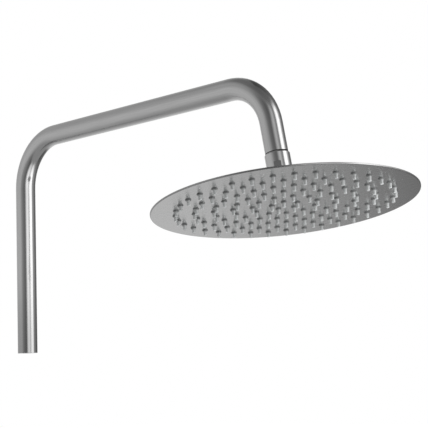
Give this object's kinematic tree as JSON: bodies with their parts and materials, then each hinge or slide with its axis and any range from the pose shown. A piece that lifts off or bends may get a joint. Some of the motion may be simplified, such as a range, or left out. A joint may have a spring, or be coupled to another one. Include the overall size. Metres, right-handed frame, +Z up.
{
  "type": "overhead shower arm with rain head",
  "caption": "Bent riser tube with a horizontal arm and a flat round rain head on a swivelling ball joint, with rings of soft spray nozzles.",
  "frame": {"origin": "centre of the riser's lower end, at the mouth of its socket", "axes": "+Z up the riser, +X along the arm towards the spray head, +Y to the left of the arm seen from the riser"},
  "size_m": [0.5172, 0.2498, 0.254],
  "materials": {
    "satin_tube": "satin, drawn lengthwise",
    "satin_head": "satin, fine brushed",
    "stainless": "plain, as made",
    "plated_brass": "satin nickel plated",
    "plain_brass": "turned, unplated",
    "black_rubber": "moulded, matt",
    "white_acetal": "moulded, matt",
    "silicone": "moulded, pale translucent"
  },
  "bodies": {
    "arm": {"riser_arm_tube": "satin_tube", "riser_socket_bush": "plated_brass", "riser_grub_screw": "stainless", "arm_end_nipple": "plain_brass", "inlet_gasket": "black_rubber", "filter_screen": "stainless", "regulator_body": "white_acetal", "regulator_ring": "black_rubber", "swivel_ball_connector": "plated_brass"},
    "seal_ring": {"ball_seal": "black_rubber"},
    "seat_ring": {"ball_seat": "white_acetal"},
    "spray_head": {"swivel_nut": "plated_brass", "ball_cup": "plated_brass", "cup_flange": "satin_head", "back_plate": "satin_head", "plate_studs": "stainless", "face_plate": "satin_head", "nozzle_ring_1": "silicone", "nozzle_ring_2": "silicone", "nozzle_ring_3": "silicone", "nozzle_ring_4": "silicone", "nozzle_ring_5": "silicone", "nozzle_ring_6": "silicone"}
  },
  "joints": [
    {"name": "head_direction", "type": "hinge", "parent": "arm", "child": "seal_ring", "pos_m": [0.37983, 0, 0.14161], "axis": [-0.1736, 0, 0.9848], "continuous": true},
    {"name": "head_tilt", "type": "hinge", "parent": "seal_ring", "child": "seat_ring", "pos_m": [0.37983, 0, 0.14161], "axis": [-0.633, 0.766, -0.1116], "range_deg": [-18.9, 11.1]},
    {"name": "head_spin", "type": "hinge", "parent": "seat_ring", "child": "spray_head", "pos_m": [0.37983, 0, 0.14161], "axis": [-0.1219, 0.0437, 0.9916], "continuous": true}
  ]
}
